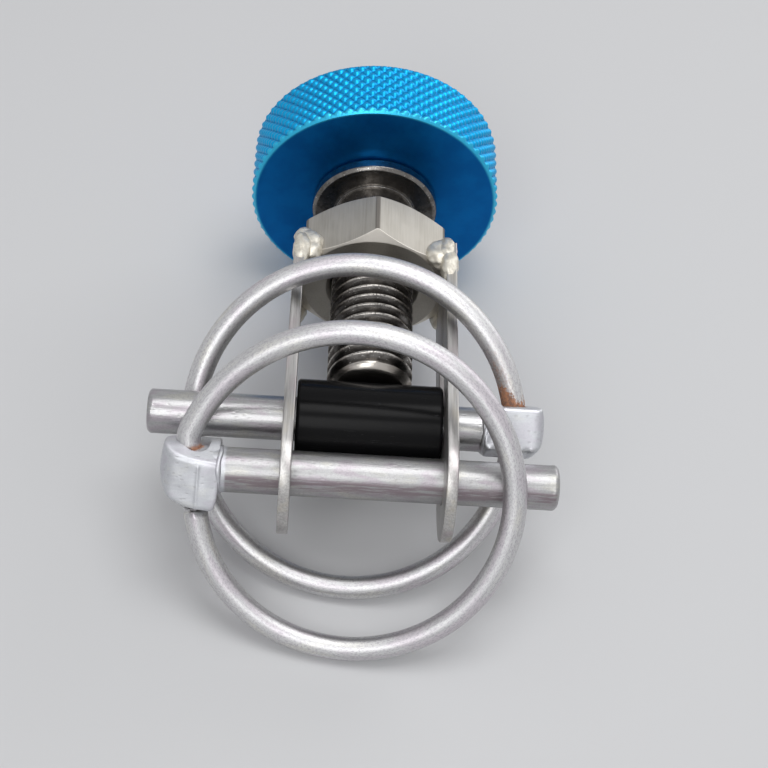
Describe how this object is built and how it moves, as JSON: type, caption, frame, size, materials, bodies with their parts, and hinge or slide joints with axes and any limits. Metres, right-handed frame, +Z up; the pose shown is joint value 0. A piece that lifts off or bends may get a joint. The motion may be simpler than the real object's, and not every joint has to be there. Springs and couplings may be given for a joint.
{
  "type": "tubing pinch clamp",
  "caption": "Screw clamp for soft tubing: a knurled knob drives a sleeved cross pin towards a fixed cross pin between two side plates. Both cross pins are linch pins with spring rings.",
  "frame": {"origin": "on the floor that the clamp lies on, under the middle of its outline", "axes": "+X along both cross pins, +Y along the spindle from the jaw to the knob, +Z up"},
  "size_m": [0.0552, 0.0794, 0.0372],
  "materials": {
    "plate_steel": "satin stainless steel, slightly heat-tinted",
    "nut_steel": "satin stainless steel",
    "weld_metal": "uneven weld bead, dull silver",
    "spindle_steel": "polished stainless steel",
    "knob_blue": "blue anodised, satin, diamond-knurled rim",
    "screw_steel": "plain machine screw",
    "pin_zinc": "bright zinc plating with drawn streaks and a little rust at the ring's holes",
    "ring_zinc": "bright zinc-plated spring wire",
    "sleeve_black": "black, smooth"
  },
  "bodies": {
    "frame": {"left_plate": "plate_steel", "right_plate": "plate_steel", "nut": "nut_steel", "left_welds": "weld_metal", "right_welds": "weld_metal"},
    "jaw": {"jaw_sleeve": "sleeve_black"},
    "spindle": {"spindle": "spindle_steel", "knob": "knob_blue", "knob_screw": "screw_steel"},
    "rear_pin": {"rear_pin": "pin_zinc"},
    "rear_ring": {"rear_ring": "ring_zinc"},
    "front_pin": {"front_pin": "pin_zinc"},
    "front_ring": {"front_ring": "ring_zinc"}
  },
  "joints": [
    {"name": "jaw_slide", "type": "slide", "parent": "frame", "child": "jaw", "axis": [0, 1, 0], "range_m": [0, 0.0064]},
    {"name": "spindle_turn", "type": "hinge", "parent": "jaw", "child": "spindle", "pos_m": [0.00215, 0, 0.0185], "axis": [0, 1, 0], "range_deg": [0, 1316]},
    {"name": "rear_pin_turn", "type": "hinge", "parent": "jaw", "child": "rear_pin", "pos_m": [0.00215, -0.01274, 0.0185], "axis": [1, 0, 0], "range_deg": [0, 45]},
    {"name": "rear_ring_swing", "type": "hinge", "parent": "rear_pin", "child": "rear_ring", "pos_m": [0.02165, -0.01274, 0.0185], "axis": [0, -0.7505, -0.6609], "range_deg": [0, 20]},
    {"name": "front_pin_pull", "type": "slide", "parent": "frame", "child": "front_pin", "axis": [-1, 0, 0], "range_m": [0, 0.0354]},
    {"name": "front_ring_swing", "type": "hinge", "parent": "front_pin", "child": "front_ring", "pos_m": [-0.02095, -0.02184, 0.0185], "axis": [0.1392, -0.6219, -0.7706], "range_deg": [0, 150]}
  ],
  "couplings": [
    {"joint": "jaw_slide", "follows": "spindle_turn", "m_per_rad": 0.00027852},
    {"joint": "rear_ring_swing", "follows": "rear_pin_turn", "ratio": 0.44},
    {"joint": "front_pin_pull", "follows": "front_ring_swing", "m_per_rad": 0.01352}
  ]
}
